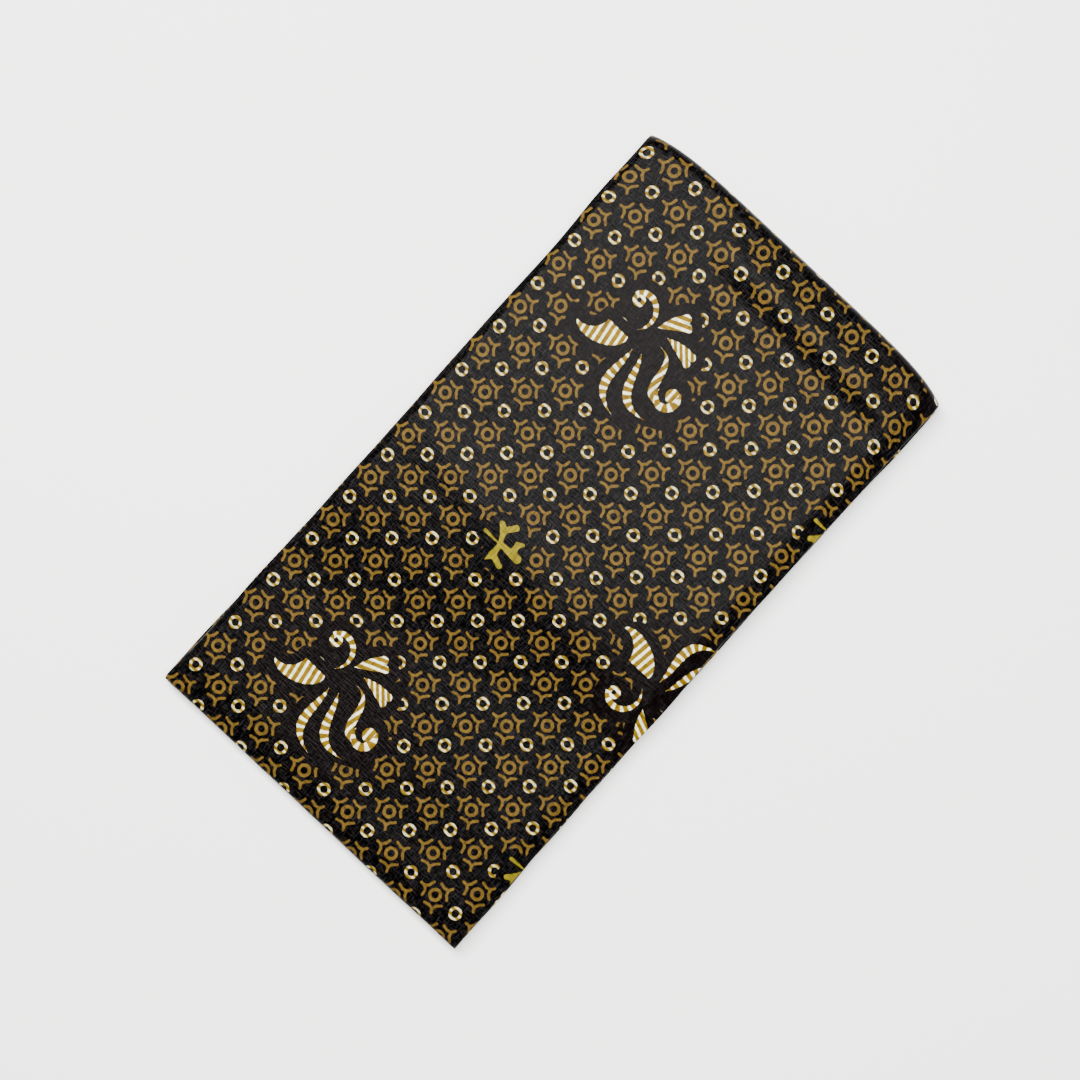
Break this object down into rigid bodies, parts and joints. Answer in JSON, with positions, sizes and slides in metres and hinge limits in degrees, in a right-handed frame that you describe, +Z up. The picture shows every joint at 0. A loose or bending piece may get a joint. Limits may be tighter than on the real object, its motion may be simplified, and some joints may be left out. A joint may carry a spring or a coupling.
{
  "type": "folded printed cotton lungi",
  "caption": "Printed cotton lungi folded into a flat packet, creased along its long edges and rolled at its folded ends.",
  "frame": {"origin": "the middle of the packet's outline, on the surface that it lies on", "axes": "+X along the packet towards its final fold, +Y across it, +Z up out of the face that shows"},
  "size_m": [0.3224, 0.1738, 0.017],
  "materials": {
    "printed_cotton": "plain-weave cotton with a soft sheen, dark ground printed in ochre, gold and cream"
  },
  "bodies": {
    "root": {"top_panel": "printed_cotton", "final_fold": "printed_cotton", "half_fold": "printed_cotton", "bottom_panel": "printed_cotton", "hidden_folds": "printed_cotton"}
  },
  "joints": []
}
